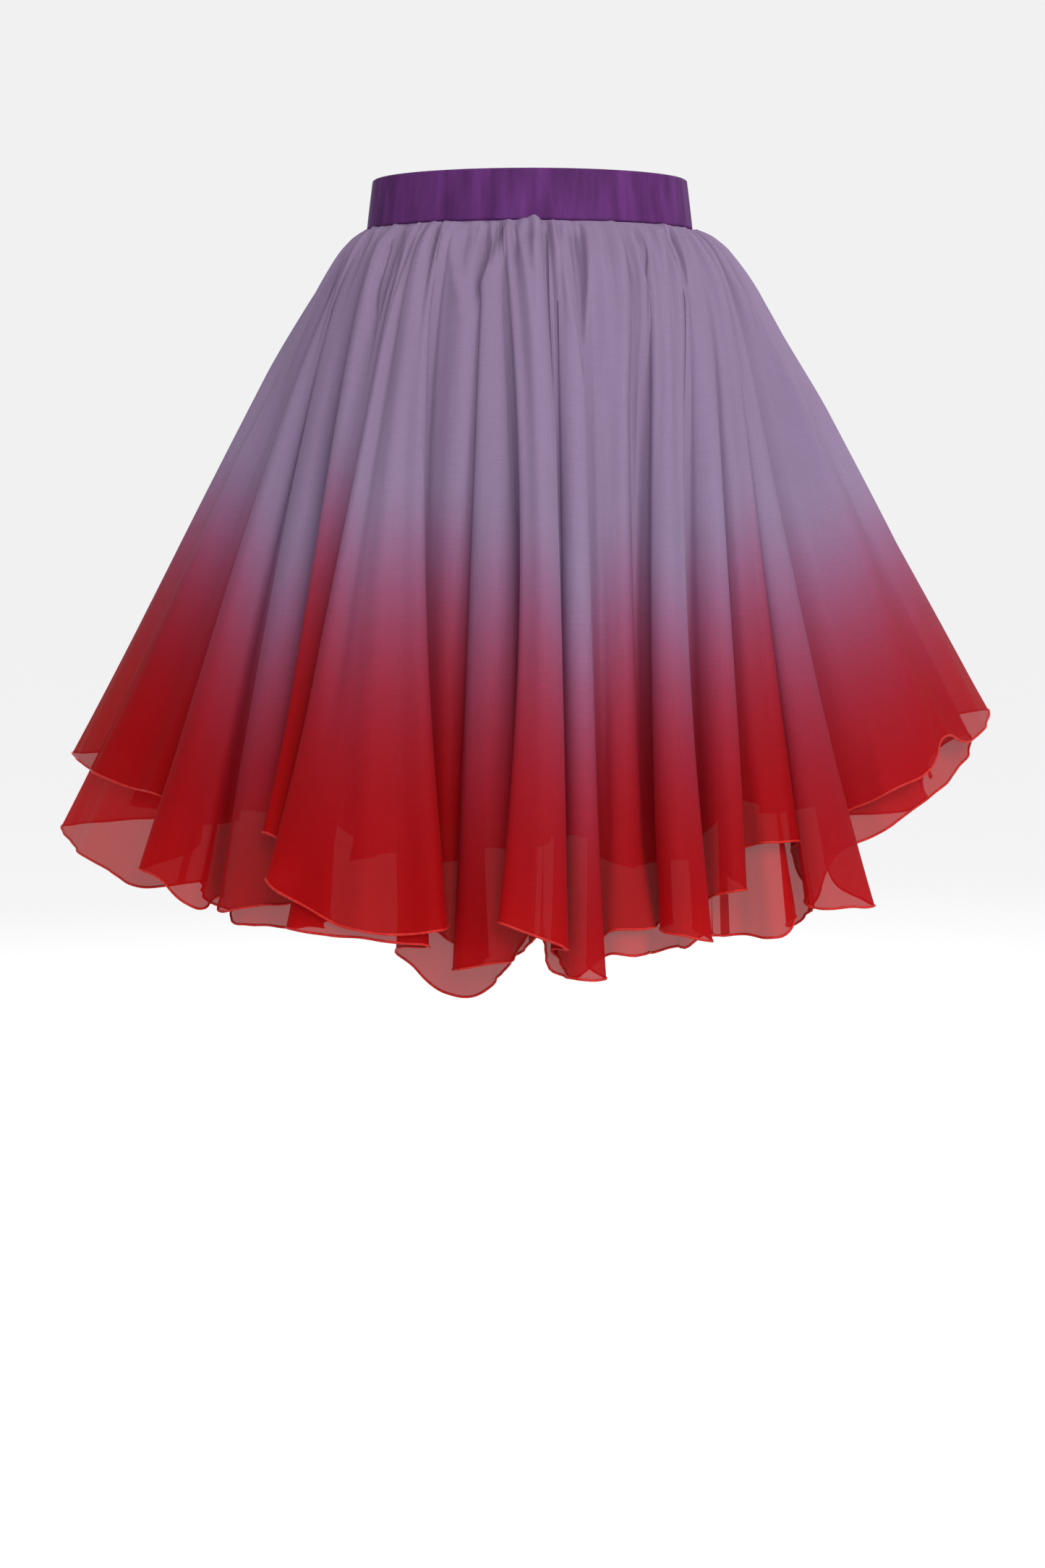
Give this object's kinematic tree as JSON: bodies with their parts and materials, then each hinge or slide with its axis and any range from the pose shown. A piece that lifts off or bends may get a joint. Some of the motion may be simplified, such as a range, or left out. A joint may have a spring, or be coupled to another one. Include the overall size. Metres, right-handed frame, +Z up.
{
  "type": "organza skirt",
  "caption": "Flared knee-length skirt: a satin waistband over two gathered layers of dip-dyed organza with rolled hems.",
  "frame": {"origin": "middle of the waist ring, at mid height of the band", "axes": "+Z up, the front of the skirt faces -Y, the wearer's left side is +X"},
  "size_m": [0.7245, 0.6256, 0.5814],
  "materials": {
    "purple_satin": "deep purple satin with a soft sheen",
    "upper_organza": "sheer organza, dip-dyed from lilac at the waist to red at the hem",
    "lower_organza": "sheer organza, dip-dyed from lilac at the waist to red at the hem"
  },
  "bodies": {
    "root": {"waistband": "purple_satin", "outer_left_front": "upper_organza", "outer_left_back": "upper_organza", "outer_right_back": "upper_organza", "outer_right_front": "upper_organza", "under_left_front": "lower_organza", "under_left_back": "lower_organza", "under_right_back": "lower_organza", "under_right_front": "lower_organza"}
  },
  "joints": []
}
